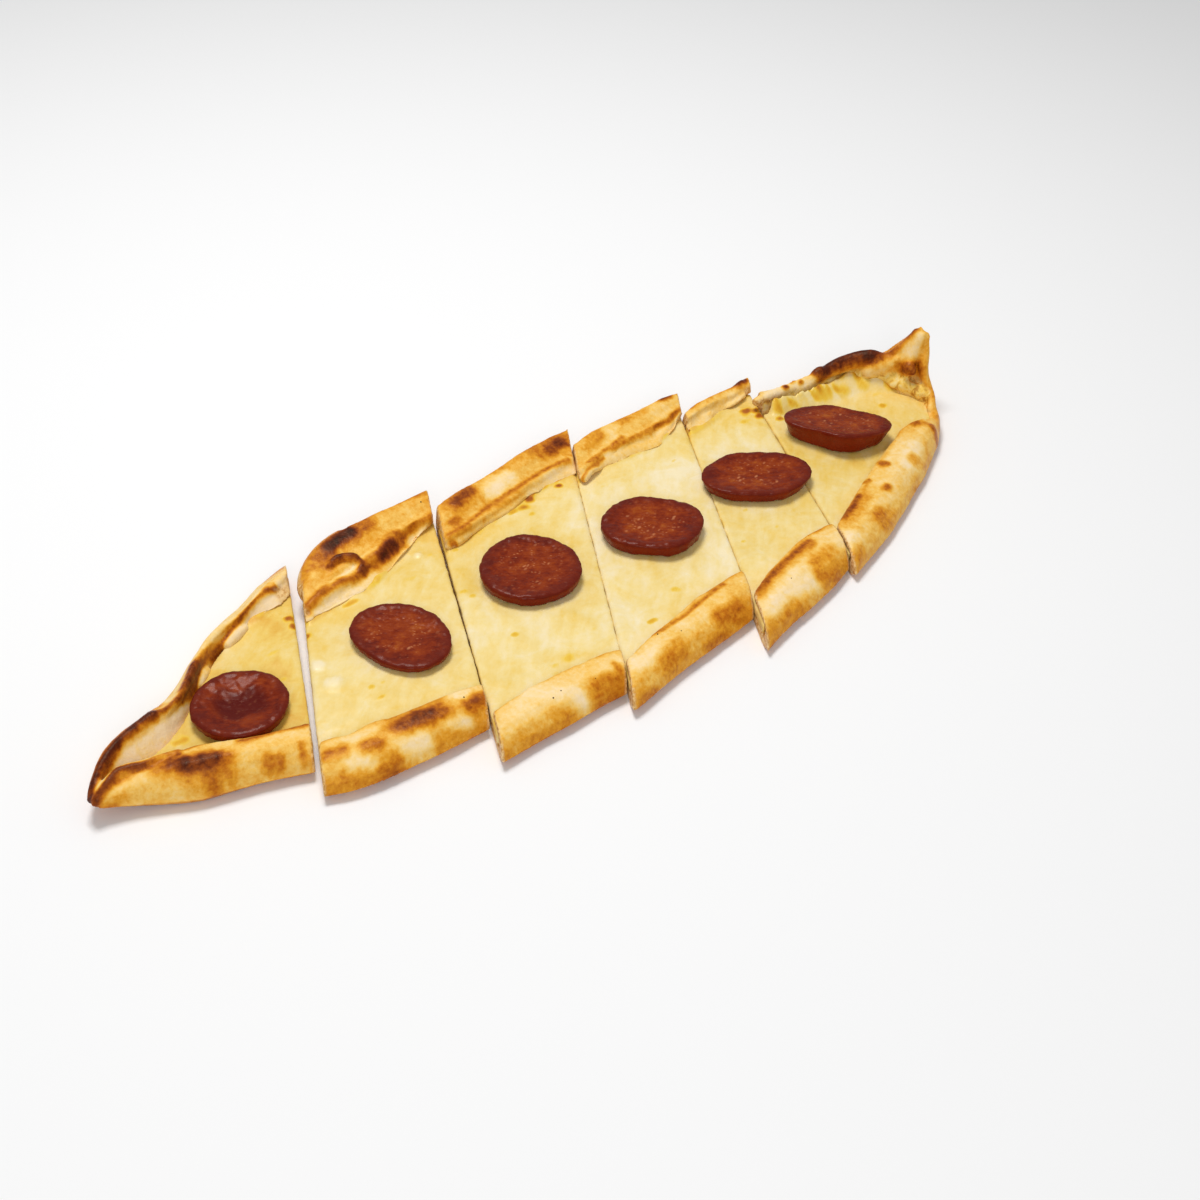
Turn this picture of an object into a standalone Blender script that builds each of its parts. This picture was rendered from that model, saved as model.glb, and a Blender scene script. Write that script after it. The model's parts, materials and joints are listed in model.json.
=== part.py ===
# A baked Turkish pide with cheese and sucuk, cut across into six slices that
# still lie together in the shape of the whole boat.
#
# The frame: +X runs along the pide to its raised tip, +Y to its far side, +Z up.
# z = 0 is the surface it rests on, and the origin is on the underside of slice 3.
# Each slice is three solids: the crust (floor and both folded rims in one piece),
# the melted cheese that runs through it from cut to cut, and one slice of sucuk.
#
# Every size of a slice is a short row of values in millimetres, spaced evenly from
# its left end to its right end, and a smooth curve is drawn through them.

import math

import bmesh
import bpy

MM = 0.001

FLOOR = 4.6            # thickness of the dough under the cheese
CHEESE_TOP = 9.2       # height of the melted cheese
GAP = 0.3              # clearance between pieces that touch
CHEESE_CLEAR = 0.7     # from the cheese up to a folded flap's underside
UNDER_FLAP = CHEESE_TOP + CHEESE_CLEAR
POCKET = 7.0           # from a rim's outer edge in to the root of its fold
CHEESE_STEPS = 8       # points across the top of the cheese
CHEESE_WAVE = 0.35     # height of the slow waves in the cheese
SUCUK_BASE = CHEESE_TOP + CHEESE_WAVE + GAP

CRUST_COLOUR = (0.80, 0.50, 0.19, 1.0)
CHEESE_COLOUR = (0.88, 0.74, 0.36, 1.0)
SUCUK_COLOUR = (0.26, 0.045, 0.025, 1.0)

# "cut" is where each cut meets the long axis and "lean" how far it moves along X
# for each unit of Y. The rim sizes are, from near to far:
#   near_edge, near_lip    outer edge and inner lip of the near rim
#   far_lip, far_ridge, far_edge    inner lip, highest line and outer edge, far rim
#   near_top, far_top, lip_top      their heights
#   ply      how far the second ply reaches past the far lip
#   near_foot, far_foot    where the inner faces of the rims meet the floor; where
#                          they are left out, the rim is folded over the cheese
SLICES = (
    {"cut": (-233.0, -146.3), "steps": 16,
     "lean": (0.0, 0.13, 0.26, 0.38, 0.50, 0.56, 0.56, 0.56),
     "near_edge": (8.0, 4.3, -2.0, -9.0, -13.5, -17.5, -22.0, -25.0),
     "near_lip": (11.3, 11.5, 10.0, 7.5, 1.8, -3.0, -6.5, -9.0),
     "near_top": (11.0, 12.5, 14.5, 16.0, 15.8, 15.0, 14.5, 14.0),
     "near_foot": (10.6, 9.0, 5.0, 0.0, -6.5, -10.5, -15.0, -18.0),
     "far_foot": (13.2, 16.0, 17.5, 26.0, 51.0, 66.0, 76.5, 79.0),
     "far_lip": (13.6, 22.5, 27.5, 34.0, 55.5, 61.5, 68.5, 72.5),
     "lip_top": (12.0, 16.0, 17.0, 16.5, 16.0, 15.5, 15.0, 14.5),
     "far_ridge": (15.0, 24.5, 30.0, 39.5, 59.0, 70.5, 79.0, 81.0),
     "far_top": (11.5, 16.5, 17.5, 15.5, 14.5, 14.5, 15.0, 15.0),
     "far_edge": (17.0, 28.5, 35.5, 45.0, 64.0, 75.5, 84.0, 86.0),
     "ply": (0.0, 0.0, 0.0, 0.0, 0.0, 1.0, 6.0, 6.0),
     "lift": (6.0, 3.5, 1.2, 0.0, 0.0, 0.0, 0.0, 0.0),
     "floor": (1.6, 3.5, 4.4, 4.6, 4.6, 4.6, 4.6, 4.6),
     "cheese": (0.24, 1.0)},
    {"cut": (-143.0, -67.0), "steps": 12,
     "lean": (0.60, 0.54),
     "near_edge": (-37.5, -43.0, -46.7, -49.0, -50.0),
     "near_lip": (-20.5, -24.0, -28.5, -31.0, -34.0),
     "near_top": (13.0, 13.5, 14.0, 13.5, 13.0),
     "far_lip": (48.5, 57.0, 61.0, 65.0, 66.0),
     "lip_top": (13.0, 15.0, 16.0, 15.0, 14.5),
     "far_ridge": (60.0, 75.0, 77.0, 78.5, 79.0),
     "far_top": (15.5, 19.5, 20.0, 19.0, 18.5),
     "far_edge": (66.0, 80.0, 82.0, 83.0, 83.5),
     "ply": (3.0, 9.0, 13.0, 5.5, 0.5)},
    {"cut": (-65.6, 8.6), "steps": 10,
     "lean": (0.55, 0.667),
     "near_edge": (-68.0, -68.3, -69.0, -69.5, -70.5),
     "near_lip": (-50.0, -49.3, -49.8, -52.0, -55.0),
     "near_top": (13.5, 13.5, 13.5, 13.5, 13.0),
     "far_lip": (47.5, 49.0, 53.0, 57.5, 60.0),
     "lip_top": (14.0, 14.0, 14.0, 14.0, 14.5),
     "far_ridge": (65.5, 68.5, 71.5, 75.0, 75.5),
     "far_top": (18.5, 19.0, 19.0, 19.0, 18.5),
     "far_edge": (70.5, 73.5, 76.5, 80.0, 80.5),
     "ply": (1.0, 1.0, 1.0, 2.5, 5.0)},
    {"cut": (9.4, 82.1), "steps": 11,
     "lean": (0.667, 0.64),
     "near_edge": (-79.5, -77.5, -74.7, -73.0, -71.0),
     "near_lip": (-61.5, -57.5, -53.7, -52.0, -51.5),
     "near_top": (13.0, 13.5, 13.5, 13.5, 13.0),
     "far_lip": (49.0, 53.5, 52.5, 54.5, 57.0),
     "lip_top": (13.5, 14.0, 14.0, 14.0, 14.5),
     "far_ridge": (64.5, 66.5, 66.7, 66.3, 65.5),
     "far_top": (17.5, 18.0, 18.0, 18.0, 17.5),
     "far_edge": (69.5, 71.5, 71.7, 71.3, 70.5),
     "ply": (0.5, 3.0, 4.5, 7.0, 0.5)},
    {"cut": (82.9, 135.0), "steps": 9,
     "lean": (0.64, 0.53),
     "near_edge": (-90.0, -86.0, -82.5, -79.0, -75.0),
     "near_lip": (-66.0, -59.5, -54.5, -53.0, -54.5),
     "near_top": (12.5, 13.5, 14.0, 14.0, 13.0),
     "far_lip": (48.0, 50.0, 50.0, 50.0, 49.5),
     "lip_top": (13.0, 14.0, 14.0, 14.0, 15.0),
     "far_ridge": (53.0, 54.5, 54.3, 53.8, 54.3),
     "far_top": (14.5, 16.0, 16.0, 16.0, 17.0),
     "far_edge": (57.5, 59.0, 59.0, 58.5, 59.0),
     "ply": (4.0, 6.0, 3.0, 1.0, 0.5)},
    {"cut": (136.0, 236.5), "steps": 20,
     "lean": (0.53, 0.44, 0.35, 0.27, 0.18, 0.10, 0.02, 0.0, 0.0),
     "near_edge": (-80.0, -75.5, -69.0, -60.5, -51.5, -42.0, -32.0, -19.0, -3.0),
     "near_lip": (-56.5, -49.5, -42.0, -35.0, -28.7, -24.0, -25.5, -14.0, -0.7),
     "near_top": (13.0, 13.3, 13.5, 13.5, 13.5, 13.5, 13.5, 13.0, 12.5, 9.5, 10.0, 14.0, 42.0),
     "near_foot": (-73.0, -68.5, -62.0, -53.5, -44.5, -34.0, -19.0, -8.5, 1.2),
     "far_foot": (33.0, 31.0, 29.0, 26.0, 23.0, 21.0, 17.0, 7.0, 1.8),
     "far_lip": (38.5, 36.8, 34.5, 32.0, 29.5, 28.5, 24.5, 14.0, 3.0),
     "lip_top": (16.0, 16.0, 16.5, 17.5, 19.0, 20.0, 22.0, 27.0, 43.4),
     "far_ridge": (41.0, 39.3, 37.0, 34.5, 32.0, 31.0, 27.0, 16.5, 4.4),
     "far_top": (16.5, 16.5, 17.0, 18.0, 19.5, 20.5, 22.5, 27.8, 42.8),
     "far_edge": (45.5, 43.5, 41.0, 38.5, 36.5, 36.0, 33.0, 23.0, 8.0),
     "ply": (0.0, 0.0),
     "floor": (4.6, 4.6, 4.6, 4.6, 4.6, 4.6, 4.6, 4.6, 4.8, 5.2, 6.0, 10.0, 39.5),
     "cheese": (0.0, 0.76)},
)

# Each slice of sucuk: its middle, its length and width, the turn of its length from
# +X in degrees, its thickness, how pointed its two ends are, and the size of its
# underside as a share of its top.
SUCUK = (
    {"at": (-166.0, 17.3), "size": (39.5, 39.5), "turn": 0.0, "thick": 4.5, "point": 0.0,
     "foot": 0.93},
    {"at": (-91.8, 10.8), "size": (44.5, 42.0), "turn": -35.0, "thick": 4.5, "point": 0.0,
     "foot": 0.93},
    {"at": (-22.0, 9.3), "size": (46.5, 45.5), "turn": 40.0, "thick": 4.5, "point": 0.0,
     "foot": 0.93},
    {"at": (40.8, -3.4), "size": (49.0, 42.0), "turn": -40.0, "thick": 4.8, "point": 0.1,
     "foot": 0.92},
    {"at": (105.9, -6.2), "size": (54.0, 39.0), "turn": -38.0, "thick": 5.0, "point": 0.25,
     "foot": 0.90},
    {"at": (166.8, -4.6), "size": (55.0, 38.5), "turn": -42.0, "thick": 9.0, "point": 0.5,
     "foot": 0.84},
)
SUCUK_SIDES = 28
SUCUK_PINCH = 0.35     # how much a fully pointed end draws the width in
SUCUK_ROUND = 1.2      # reach of the rounded edge


def clear_scene():
    for thing in list(bpy.data.objects):
        bpy.data.objects.remove(thing)


def material(name, colour, roughness):
    made = bpy.data.materials.new(name)
    made.use_nodes = True
    shader = made.node_tree.nodes["Principled BSDF"]
    shader.inputs["Base Color"].default_value = colour
    shader.inputs["Roughness"].default_value = roughness
    shader.inputs["Metallic"].default_value = 0.0
    made.diffuse_color = colour
    return made


def add_object(name, bm, finish, home):
    """Close the books on a bmesh: outward normals, one object, one material."""
    bmesh.ops.recalc_face_normals(bm, faces=bm.faces)
    mesh = bpy.data.meshes.new(name)
    bm.to_mesh(mesh)
    bm.free()
    made = bpy.data.objects.new(name, mesh)
    made.data.materials.append(finish)
    home.objects.link(made)
    return made


def along(values, share):
    """The value at a share (0 to 1) of the way, on a smooth curve through values."""
    last = len(values) - 1
    place = min(max(share, 0.0), 1.0) * last
    step = min(int(place), last - 1)
    t = place - step
    a = values[max(step - 1, 0)]
    b = values[step]
    c = values[step + 1]
    d = values[min(step + 2, last)]
    slope_b = (c - a) / 2
    slope_c = (d - b) / 2
    if (c - b) * slope_b <= 0:
        slope_b = 0.0
    if (c - b) * slope_c <= 0:
        slope_c = 0.0
    return ((2 * t ** 3 - 3 * t ** 2 + 1) * b + (t ** 3 - 2 * t ** 2 + t) * slope_b
            + (3 * t ** 2 - 2 * t ** 3) * c + (t ** 3 - t ** 2) * slope_c)


def sizes_at(cut_slice, share):
    """All of a slice's sizes at one station, with the folded rims' feet filled in."""
    here = {key: along(row, share) for key, row in cut_slice.items()
            if key not in ("steps", "cheese")}
    here.setdefault("lift", 0.0)
    here.setdefault("floor", FLOOR)
    here.setdefault("near_foot", here["near_edge"] + POCKET)
    here.setdefault("far_foot", here["far_edge"] - POCKET)
    return here


def flap_underside(top):
    """Height of a folded flap's underside, lower where the rim itself is low."""
    return min(UNDER_FLAP, top - 2.5)


def rim_inside(lip, foot, floor, top, outward):
    """Inner side of a rim from below its lip down to the floor.

    A folded rim has its foot outward of the lip, under a flat flap; a standing rim
    has it inward, at the end of a slope.
    """
    reach = foot - lip
    if reach * outward > 0:
        under = flap_underside(top)
        depth = under - floor
        corner = min(1.2, 0.4 * abs(reach)) * outward
        return [(foot - corner, under),
                (foot, under - 0.3 * depth),
                (foot, floor + 0.25 * depth),
                (foot - corner, floor)]
    drop = top - floor
    return [(lip + part * reach, top - fall * drop)
            for part, fall in ((0.42, 0.48), (0.65, 0.7), (0.88, 0.9), (1.1, 1.0))]


def crust_section(z):
    """The crust's outline at one station, anticlockwise, as (y, z) points."""
    near, far = z["near_edge"], z["far_edge"]
    near_lip, far_lip = z["near_lip"], z["far_lip"]
    near_top, far_top, lip_top = z["near_top"], z["far_top"], z["lip_top"]
    ridge, ply, lift, floor = z["far_ridge"], z["ply"], z["lift"], z["floor"] + z["lift"]
    width = far - near
    bottom = [(near + 0.03 * width + 1.2, lift),
              (near + 0.35 * width, lift),
              (near + 0.65 * width, lift),
              (far - 0.02 * width - 1.0, lift)]
    far_side = [(far, lift + 2.4),
                (far + 0.2 * (ridge - far), lift + 0.45 * (far_top - lift)),
                (far + 0.55 * (ridge - far), lift + 0.78 * (far_top - lift)),
                (ridge, far_top),
                (ridge + 0.38 * (far_lip - ridge), far_top + 0.25 * (lip_top - far_top)),
                (ridge + 0.72 * (far_lip - ridge), far_top + 0.75 * (lip_top - far_top)),
                (far_lip, lip_top)]
    reach = z["far_foot"] - far_lip
    if reach > 0:
        ply_end = far_lip - ply
        under = flap_underside(lip_top)
        ply_top = min(lip_top - 1.3, under + 2.6)
        far_side += [(far_lip - 0.5, lip_top - 0.9),
                     (far_lip - 0.1 - 0.15 * ply, lip_top - 1.7),
                     (ply_end - 0.6, ply_top - 0.4),
                     (ply_end - 0.9, under + 0.9),
                     (ply_end + 0.8, under)]
    else:
        far_side += [(far_lip + part * reach, lip_top - fall * (lip_top - floor))
                     for part, fall in ((0.03, 0.08), (0.08, 0.15), (0.15, 0.23),
                                        (0.23, 0.32), (0.32, 0.4))]
    far_in = rim_inside(far_lip, z["far_foot"], floor, lip_top, 1)
    middle = [(z["far_foot"] + part * (z["near_foot"] - z["far_foot"]), floor)
              for part in (0.33, 0.67)]
    near_in = rim_inside(near_lip, z["near_foot"], floor, near_top, -1)
    flap = near_lip - near
    tall = near_top - lift
    reach = z["near_foot"] - near_lip
    if reach < 0:
        lip_edge = [(near_lip - 0.6, flap_underside(near_top)),
                    (near_lip + 0.2, near_top - 1.5),
                    (near_lip - 0.4, near_top - 0.4)]
    else:
        lip_edge = [(near_lip + part * reach, near_top - fall * (near_top - floor))
                    for part, fall in ((0.25, 0.32), (0.12, 0.18), (0.03, 0.06))]
    near_side = [(near_lip - 0.25 * flap, near_top + 0.3),
                 (near + 0.48 * flap, near_top + 0.1),
                 (near + 0.27 * flap, lift + 0.86 * tall),
                 (near + 0.1 * flap, lift + 0.6 * tall),
                 (near, lift + 0.28 * tall)]
    return bottom + far_side + far_in + middle + near_in[::-1] + lip_edge + near_side


def cheese_section(z, share):
    """The cheese's outline at one station: flat below, gently waved on top."""
    floor = z["floor"] + z["lift"] + GAP
    top = min(CHEESE_TOP, flap_underside(min(z["near_top"], z["lip_top"])) - CHEESE_CLEAR)
    sides = []
    for foot, lip, lip_top, outward in ((z["near_foot"], z["near_lip"], z["near_top"], -1),
                                        (z["far_foot"], z["far_lip"], z["lip_top"], 1)):
        folded = (foot - lip) * outward > 0
        low = foot - (1.6 if folded else 1.4) * outward
        slope = 0.0 if folded else (lip - foot) * (top - floor) / (lip_top - floor)
        sides.append((low, low + 0.6 * slope))
    (near_low, near_high), (far_low, far_high) = sides
    outline = [(near_low, floor), (0.5 * (near_low + far_low), floor), (far_low, floor)]
    for step in range(CHEESE_STEPS):
        part = step / (CHEESE_STEPS - 1)
        y = far_high + part * (near_high - far_high)
        calm = math.sin(math.pi * part) ** 0.5
        wave = CHEESE_WAVE * calm * math.sin(0.11 * y + 5.0 * share)
        outline.append((y, top + min(wave, CHEESE_WAVE)))
    return outline


def loft(name, cut_slice, shares, section, finish, home):
    """Join the sections at all stations into one closed body."""
    bm = bmesh.new()
    rings = []
    for share in shares:
        here = sizes_at(cut_slice, share)
        rings.append([bm.verts.new(((here["cut"] + here["lean"] * y) * MM, y * MM, z * MM))
                      for y, z in section(here, share)])
    count = len(rings[0])
    for left, right in zip(rings, rings[1:]):
        for i in range(count):
            j = (i + 1) % count
            bm.faces.new((left[i], left[j], right[j], right[i]))
    bm.faces.new(rings[0])
    bm.faces.new(rings[-1])
    return add_object(name, bm, finish, home)


def make_crust(number, cut_slice, finish, home):
    steps = cut_slice["steps"]
    shares = [step / steps for step in range(steps + 1)]
    return loft("crust_%d" % number, cut_slice, shares,
                lambda here, share: crust_section(here), finish, home)


def make_cheese(number, cut_slice, finish, home):
    first, last = cut_slice.get("cheese", (0.0, 1.0))
    steps = cut_slice["steps"]
    shares = [step / steps for step in range(steps + 1) if first <= step / steps <= last]
    return loft("cheese_%d" % number, cut_slice, shares, cheese_section, finish, home)


def make_sucuk(number, slab, finish, home):
    """An oval disc with rounded edges, narrower below, lying on the cheese."""
    length, width = slab["size"]
    turn = math.radians(slab["turn"])
    bm = bmesh.new()
    bmesh.ops.create_cone(bm, cap_ends=True, segments=SUCUK_SIDES,
                          radius1=0.5 * slab["foot"], radius2=0.5, depth=1.0)
    for vert in bm.verts:
        angle = math.atan2(vert.co.y, vert.co.x)
        pinch = 1.0 - slab["point"] * SUCUK_PINCH * math.cos(angle) ** 2
        u = vert.co.x * length
        v = vert.co.y * width * pinch
        vert.co = ((slab["at"][0] + u * math.cos(turn) - v * math.sin(turn)) * MM,
                   (slab["at"][1] + u * math.sin(turn) + v * math.cos(turn)) * MM,
                   (SUCUK_BASE + (vert.co.z + 0.5) * slab["thick"]) * MM)
    made = add_object("sucuk_%d" % number, bm, finish, home)
    edge = made.modifiers.new("rounded_edge", "BEVEL")
    edge.width = SUCUK_ROUND * MM
    edge.segments = 2
    edge.limit_method = "ANGLE"
    edge.angle_limit = math.radians(30.0)


def main():
    clear_scene()
    home = bpy.data.collections.new("turkish_pide")
    bpy.context.scene.collection.children.link(home)
    crust = material("baked_crust", CRUST_COLOUR, 0.6)
    cheese = material("melted_cheese", CHEESE_COLOUR, 0.35)
    sucuk = material("sucuk", SUCUK_COLOUR, 0.4)
    for number, (cut_slice, slab) in enumerate(zip(SLICES, SUCUK), start=1):
        make_crust(number, cut_slice, crust, home)
        make_cheese(number, cut_slice, cheese, home)
        make_sucuk(number, slab, sucuk, home)


main()
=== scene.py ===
import json
import math

import bpy
import numpy as np
from mathutils import Euler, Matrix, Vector

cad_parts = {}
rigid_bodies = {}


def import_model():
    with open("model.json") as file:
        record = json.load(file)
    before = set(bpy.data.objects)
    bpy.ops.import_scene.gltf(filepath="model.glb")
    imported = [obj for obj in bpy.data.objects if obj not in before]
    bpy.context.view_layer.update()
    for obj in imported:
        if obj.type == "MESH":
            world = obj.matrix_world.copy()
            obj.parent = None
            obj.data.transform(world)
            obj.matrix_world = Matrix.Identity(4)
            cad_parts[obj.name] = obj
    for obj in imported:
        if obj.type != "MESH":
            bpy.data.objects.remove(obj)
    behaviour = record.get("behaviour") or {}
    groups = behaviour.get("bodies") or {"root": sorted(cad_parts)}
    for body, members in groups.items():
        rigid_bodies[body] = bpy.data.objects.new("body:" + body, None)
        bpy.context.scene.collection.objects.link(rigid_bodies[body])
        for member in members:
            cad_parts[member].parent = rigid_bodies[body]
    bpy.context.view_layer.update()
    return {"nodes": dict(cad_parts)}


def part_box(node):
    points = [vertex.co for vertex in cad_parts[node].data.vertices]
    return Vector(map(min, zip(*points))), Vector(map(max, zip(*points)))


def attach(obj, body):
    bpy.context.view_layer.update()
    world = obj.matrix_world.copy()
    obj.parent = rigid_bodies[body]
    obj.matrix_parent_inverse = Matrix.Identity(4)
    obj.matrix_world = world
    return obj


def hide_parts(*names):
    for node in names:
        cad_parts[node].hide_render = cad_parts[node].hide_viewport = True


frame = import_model()
mm = 0.001
print("frame loaded")


def deselectAll():
    for thing in bpy.context.view_layer.objects:
        thing.select_set(False)


def makeActive(piece):
    deselectAll()
    piece.select_set(True)
    bpy.context.view_layer.objects.active = piece


def applyModifier(piece, kind, **settings):
    makeActive(piece)
    added = piece.modifiers.new(kind.lower(), kind)
    for key, value in settings.items():
        setattr(added, key, value)
    bpy.ops.object.modifier_apply(modifier=added.name)


def addRoll(piece, path, radii):
    # a round roll of dough or cheese through the path's points, joined to the piece
    curve = bpy.data.curves.new("roll", "CURVE")
    curve.dimensions = "3D"
    curve.bevel_depth = mm
    curve.bevel_resolution = 3
    curve.resolution_u = 6
    curve.use_fill_caps = True
    spline = curve.splines.new("BEZIER")
    spline.bezier_points.add(len(path) - 1)
    for point, place, radius in zip(spline.bezier_points, path, radii):
        point.co = Vector(place) * mm
        point.radius = radius
        point.handle_left_type = point.handle_right_type = "AUTO"
    roll = bpy.data.objects.new("roll", curve)
    bpy.context.scene.collection.objects.link(roll)
    makeActive(roll)
    bpy.ops.object.convert(target="MESH")
    makeActive(piece)
    roll.select_set(True)
    bpy.ops.object.join()


def denseCopy(node, name, voxel, smoothing, rolls=(), blends=()):
    source = frame["nodes"][node]
    piece = source.copy()
    piece.data = source.data.copy()
    piece.name = name
    piece.parent = None
    for key in list(piece.keys()):
        del piece[key]
    bpy.context.scene.collection.objects.link(piece)
    makeActive(piece)
    bpy.ops.object.mode_set(mode="EDIT")
    bpy.ops.mesh.select_all(action="SELECT")
    bpy.ops.mesh.remove_doubles(threshold=0.00001)
    bpy.ops.object.mode_set(mode="OBJECT")
    for path, radii in rolls:
        addRoll(piece, path, radii)
    applyModifier(piece, "REMESH", mode="VOXEL", voxel_size=voxel * mm)
    applyModifier(piece, "SMOOTH", factor=0.5, iterations=smoothing)
    if blends:   # smoothed further inside each ball: x, y, height and reach
        points, _ = readPoints(piece)
        share = np.zeros(len(points))
        for *place, reach in blends:
            away = np.linalg.norm(points - place, axis=1)
            share = np.maximum(share, ramp(away, reach, 0.7 * reach))
        chosen = piece.vertex_groups.new(name="blend")
        for step in range(1, 5):
            inside = np.nonzero(np.ceil(share * 4) == step)[0]
            chosen.add(inside.tolist(), step / 4, "REPLACE")
        applyModifier(piece, "SMOOTH", factor=0.5, iterations=16, vertex_group="blend")
        piece.vertex_groups.clear()
    piece.data.materials.clear()
    return piece


def readPoints(piece):
    count = len(piece.data.vertices)
    spots = np.zeros(count * 3, np.float32)
    piece.data.vertices.foreach_get("co", spots)
    facing = np.zeros(count * 3, np.float32)
    piece.data.vertex_normals.foreach_get("vector", facing)
    return spots.reshape(-1, 3).astype(float) / mm, facing.reshape(-1, 3).astype(float)


def writePoints(piece, points):
    piece.data.vertices.foreach_set("co", (points * mm).astype(np.float32).ravel())
    piece.data.update()


def paint(piece, name, values):
    layer = piece.data.attributes.new(name, "FLOAT", "POINT")
    layer.data.foreach_set("value", np.clip(values, 0, 1).astype(np.float32))


askew = np.array(Euler((0.6, 0.5, 0.9)).to_matrix())   # so that the noise follows no axis


def lumps(points, size, seed):
    # smooth noise from -1 to 1, with features about as large as size
    placed = points @ askew / size + np.array([seed * 7.31, seed * 3.17, seed * 5.53])
    cell = np.floor(placed).astype(np.int64)
    part = placed - cell
    part = part * part * (3 - 2 * part)
    total = np.zeros(len(points))
    for corner in range(8):
        step = np.array([corner & 1, corner >> 1 & 1, corner >> 2 & 1])
        grid = cell + step
        code = (grid[:, 0] * 374761393 + grid[:, 1] * 668265263
                + grid[:, 2] * 1274126177) & 0xffffffff
        code = ((code ^ (code >> 13)) * 1103515245) & 0xffffffff
        code = (code ^ (code >> 16)) & 0xffff
        total += (code / 32767.5 - 1) * np.prod(np.where(step, part, 1 - part), axis=1)
    return total


def ramp(value, low, high):
    part = np.clip((value - low) / (high - low), 0, 1)
    return part * part * (3 - 2 * part)


def bell(value, middle, reach):
    return np.exp(-((value - middle) / reach) ** 2)


def curveThrough(values, share):
    values = np.array(values, float)
    last = len(values) - 1
    place = np.clip(share, 0, 1) * last
    step = np.minimum(place.astype(int), last - 1)
    t = place - step
    a = values[np.maximum(step - 1, 0)]
    b = values[step]
    c = values[step + 1]
    d = values[np.minimum(step + 2, last)]
    slopeB = np.where((c - b) * (c - a) <= 0, 0.0, (c - a) / 2)
    slopeC = np.where((c - b) * (d - b) <= 0, 0.0, (d - b) / 2)
    return ((2 * t ** 3 - 3 * t ** 2 + 1) * b + (t ** 3 - 2 * t ** 2 + t) * slopeB
            + (3 * t ** 2 - 2 * t ** 3) * c + (t ** 3 - t ** 2) * slopeC)


# the six slices: the same rows of sizes, in millimetres, that the solids have

slices = (
    {"cut": (-233.0, -146.3), "lean": (0.0, 0.13, 0.26, 0.38, 0.50, 0.56, 0.56, 0.56),
     "nearEdge": (8.0, 4.3, -2.0, -9.0, -13.5, -17.5, -22.0, -25.0),
     "nearLip": (11.3, 11.5, 10.0, 7.5, 1.8, -3.0, -6.5, -9.0),
     "farLip": (13.6, 22.5, 27.5, 34.0, 55.5, 61.5, 68.5, 72.5),
     "farRidge": (15.0, 24.5, 30.0, 39.5, 59.0, 70.5, 79.0, 81.0),
     "farEdge": (17.0, 28.5, 35.5, 45.0, 64.0, 75.5, 84.0, 86.0),
     "ply": (0.0, 0.0, 0.0, 0.0, 0.0, 1.0, 6.0, 6.0)},
    {"cut": (-143.0, -67.0), "lean": (0.60, 0.54),
     "nearEdge": (-37.5, -43.0, -46.7, -49.0, -50.0),
     "nearLip": (-20.5, -24.0, -28.5, -31.0, -34.0),
     "farLip": (48.5, 57.0, 61.0, 65.0, 66.0),
     "farRidge": (60.0, 75.0, 77.0, 78.5, 79.0),
     "farEdge": (66.0, 80.0, 82.0, 83.0, 83.5),
     "ply": (3.0, 9.0, 13.0, 5.5, 0.5)},
    {"cut": (-65.6, 8.6), "lean": (0.55, 0.667),
     "nearEdge": (-68.0, -68.3, -69.0, -69.5, -70.5),
     "nearLip": (-50.0, -49.3, -49.8, -52.0, -55.0),
     "farLip": (47.5, 49.0, 53.0, 57.5, 60.0),
     "farRidge": (65.5, 68.5, 71.5, 75.0, 75.5),
     "farEdge": (70.5, 73.5, 76.5, 80.0, 80.5),
     "ply": (1.0, 1.0, 1.0, 2.5, 5.0)},
    {"cut": (9.4, 82.1), "lean": (0.667, 0.64),
     "nearEdge": (-79.5, -77.5, -74.7, -73.0, -71.0),
     "nearLip": (-61.5, -57.5, -53.7, -52.0, -51.5),
     "farLip": (49.0, 53.5, 52.5, 54.5, 57.0),
     "farRidge": (64.5, 66.5, 66.7, 66.3, 65.5),
     "farEdge": (69.5, 71.5, 71.7, 71.3, 70.5),
     "ply": (0.5, 3.0, 4.5, 7.0, 0.5)},
    {"cut": (82.9, 135.0), "lean": (0.64, 0.53),
     "nearEdge": (-90.0, -86.0, -82.5, -79.0, -75.0),
     "nearLip": (-66.0, -59.5, -54.5, -53.0, -54.5),
     "farLip": (48.0, 50.0, 50.0, 50.0, 49.5),
     "farRidge": (53.0, 54.5, 54.3, 53.8, 54.3),
     "farEdge": (57.5, 59.0, 59.0, 58.5, 59.0),
     "ply": (4.0, 6.0, 3.0, 1.0, 0.5)},
    {"cut": (136.0, 236.5), "lean": (0.53, 0.44, 0.35, 0.27, 0.18, 0.10, 0.02, 0.0, 0.0),
     "nearEdge": (-80.0, -75.5, -69.0, -60.5, -51.5, -42.0, -32.0, -19.0, -3.0),
     "nearLip": (-56.5, -49.5, -42.0, -35.0, -28.7, -24.0, -25.5, -14.0, -0.7),
     "farLip": (38.5, 36.8, 34.5, 32.0, 29.5, 28.5, 24.5, 14.0, 3.0),
     "farRidge": (41.0, 39.3, 37.0, 34.5, 32.0, 31.0, 27.0, 16.5, 4.4),
     "farEdge": (45.5, 43.5, 41.0, 38.5, 36.5, 36.0, 33.0, 23.0, 8.0),
     "ply": (0.0, 0.0), "farFoot": (33.0, 31.0, 29.0, 26.0, 23.0, 21.0, 17.0, 7.0, 1.8)},
)


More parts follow.
